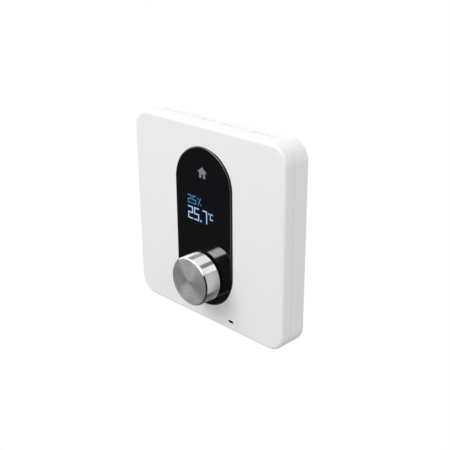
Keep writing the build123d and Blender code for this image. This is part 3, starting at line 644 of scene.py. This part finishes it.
# %% [markdown]
# The sky is white to the eye and gives a soft, even fill. What the gloss sees instead is a studio with
# long panels. Some run beside the knob's axis and make the long bright bands on its side. Others stand
# in front and light its face, with a dark gap between them where the lens looks.

# %% World
SIDE_PANELS = ((34, 60, 0.95), (60, 77, 0.22), (77, 117, 0.90), (117, 140, 0.34), (140, 200, 1.15))


def beside_knob(finish, x, y, z):
    """Light from beside the knob's axis; the panels are low angle, high angle and level."""
    turn = finish.maths("ARCTAN2", z, x) * (180 / math.pi)

    def panel(low, high, level=1.0, soft=6.0):
        inside = finish.ramp(turn, low - soft, low + soft) * finish.ramp(turn, high + soft, high - soft)
        return inside * level

    total = panel(-50, 33) * finish.ramp(y, 0.10, -0.30, 0.12, 0.60)
    total = total + panel(-200, -50) * finish.ramp(y, -0.15, 0.05, 0.04, 0.20)
    for low, high, level in SIDE_PANELS:
        total = total + panel(low, high, level, 2.5)
    return total


def in_front(finish, x, z):
    """Light from the room's side: the brightest of five soft panels, and a trace everywhere."""
    high = finish.ramp(z, 0.20, 0.45) * finish.ramp(x, 0.62, 0.40) * 2.40
    left = finish.ramp(x, -0.73, -0.84) * 1.50
    low = finish.ramp(z, -0.50, -0.60) * finish.ramp(x, -0.48, -0.62) * 1.90
    middle = finish.ramp(x, -0.66, -0.54) * finish.ramp(x, -0.26, -0.34) * 1.80
    middle = middle * finish.ramp(z, -0.31, -0.03)
    inward = finish.ramp(x, -0.58, -0.46) * finish.ramp(x, -0.16, -0.28)
    inward = inward * finish.ramp(z, -0.46, -0.40) * finish.ramp(z, -0.10, -0.20)
    brightest = inward
    for panel in (high, left, middle, low):
        brightest = finish.maths("MAXIMUM", brightest, panel)
    return brightest + 0.015


def studio_world():
    world = bpy.data.worlds.new("studio")
    bpy.context.scene.world = world
    finish = Finish("studio", world)
    x, y, z = finish.split(finish.add("TexCoord", output="Generated"))
    sideways = finish.ramp(y, -0.50, -0.38)
    gloss = finish.add("Mix", {"data_type": "FLOAT"}, {
        0: sideways, 2: in_front(finish, x, z), 3: beside_knob(finish, x, y, z),
    })
    path = finish.add("LightPath").socket.node
    seen = Reading(finish, path.outputs["Is Camera Ray"])
    glossy = Reading(finish, path.outputs["Is Glossy Ray"])
    fill = finish.ramp(z, -0.8, 0.8, 0.50, 0.78)
    level = finish.add("Mix", {"data_type": "FLOAT"}, {0: glossy, 2: fill, 3: gloss})
    level = finish.add("Mix", {"data_type": "FLOAT"}, {0: seen, 2: level, 3: 1.0})
    light = finish.add("Background", inputs={"Color": finish.join(level, level, level), "Strength": 1.0})
    finish.add("OutputWorld", inputs={0: light})


studio_world()
print("world has", len(bpy.context.scene.world.node_tree.nodes), "nodes")

# %% [markdown]
# Two area lamps shape the case: a large one high at the left, and a weak one at the right that lifts
# the side wall. Neither shows in the gloss, which has the studio's panels.


# %% Lamps
def lamp(name, place, aim, size, power):
    """A square soft light at a place, facing a point."""
    data = bpy.data.lights.new(name, "AREA")
    data.size = size
    data.energy = power
    lamp_object = bpy.data.objects.new(name, data)
    bpy.context.collection.objects.link(lamp_object)
    lamp_object.location = place
    lamp_object.rotation_euler = (Vector(aim) - Vector(place)).to_track_quat("-Z", "Y").to_euler()
    lamp_object.visible_glossy = False
    print(name, power, "W,", size, "m across")


lamp("overhead_panel", (-0.36, -0.56, 0.58), (0, 0, 0), 0.55, 3.7)
lamp("side_panel", (0.42, -0.12, 0.42), (0.04, 0, 0.0), 0.25, 0.5)

# %% [markdown]
# ## Camera
# The thermostat is seen from its right and from above, with a long lens.

# %% Camera
AZIMUTH = math.radians(45.15)
ELEVATION = math.radians(22.43)
ROLL = math.radians(-0.53)
DISTANCE = 0.3379
FOCAL_LENGTH = 65.38
TARGET = Vector((4.70, -6.50, 0.45)) * MM
camera_data = bpy.data.cameras.new("camera")
camera_data.lens = FOCAL_LENGTH
camera_data.sensor_width = 36.0
camera_data.clip_start = 0.01
camera = bpy.data.objects.new("camera", camera_data)
bpy.context.collection.objects.link(camera)
towards = Vector((
    math.cos(ELEVATION) * math.sin(AZIMUTH), -math.cos(ELEVATION) * math.cos(AZIMUTH), math.sin(ELEVATION)
))
camera.location = TARGET + towards * DISTANCE
turned_to = (-towards).to_track_quat("-Z", "Y").to_matrix().to_4x4()
camera.rotation_euler = turned_to.to_euler()
camera.rotation_euler.rotate_axis("Z", ROLL)
bpy.context.scene.camera = camera
bpy.context.scene.view_settings.view_transform = "Standard"
print("camera at", [round(v, 4) for v in camera.location])
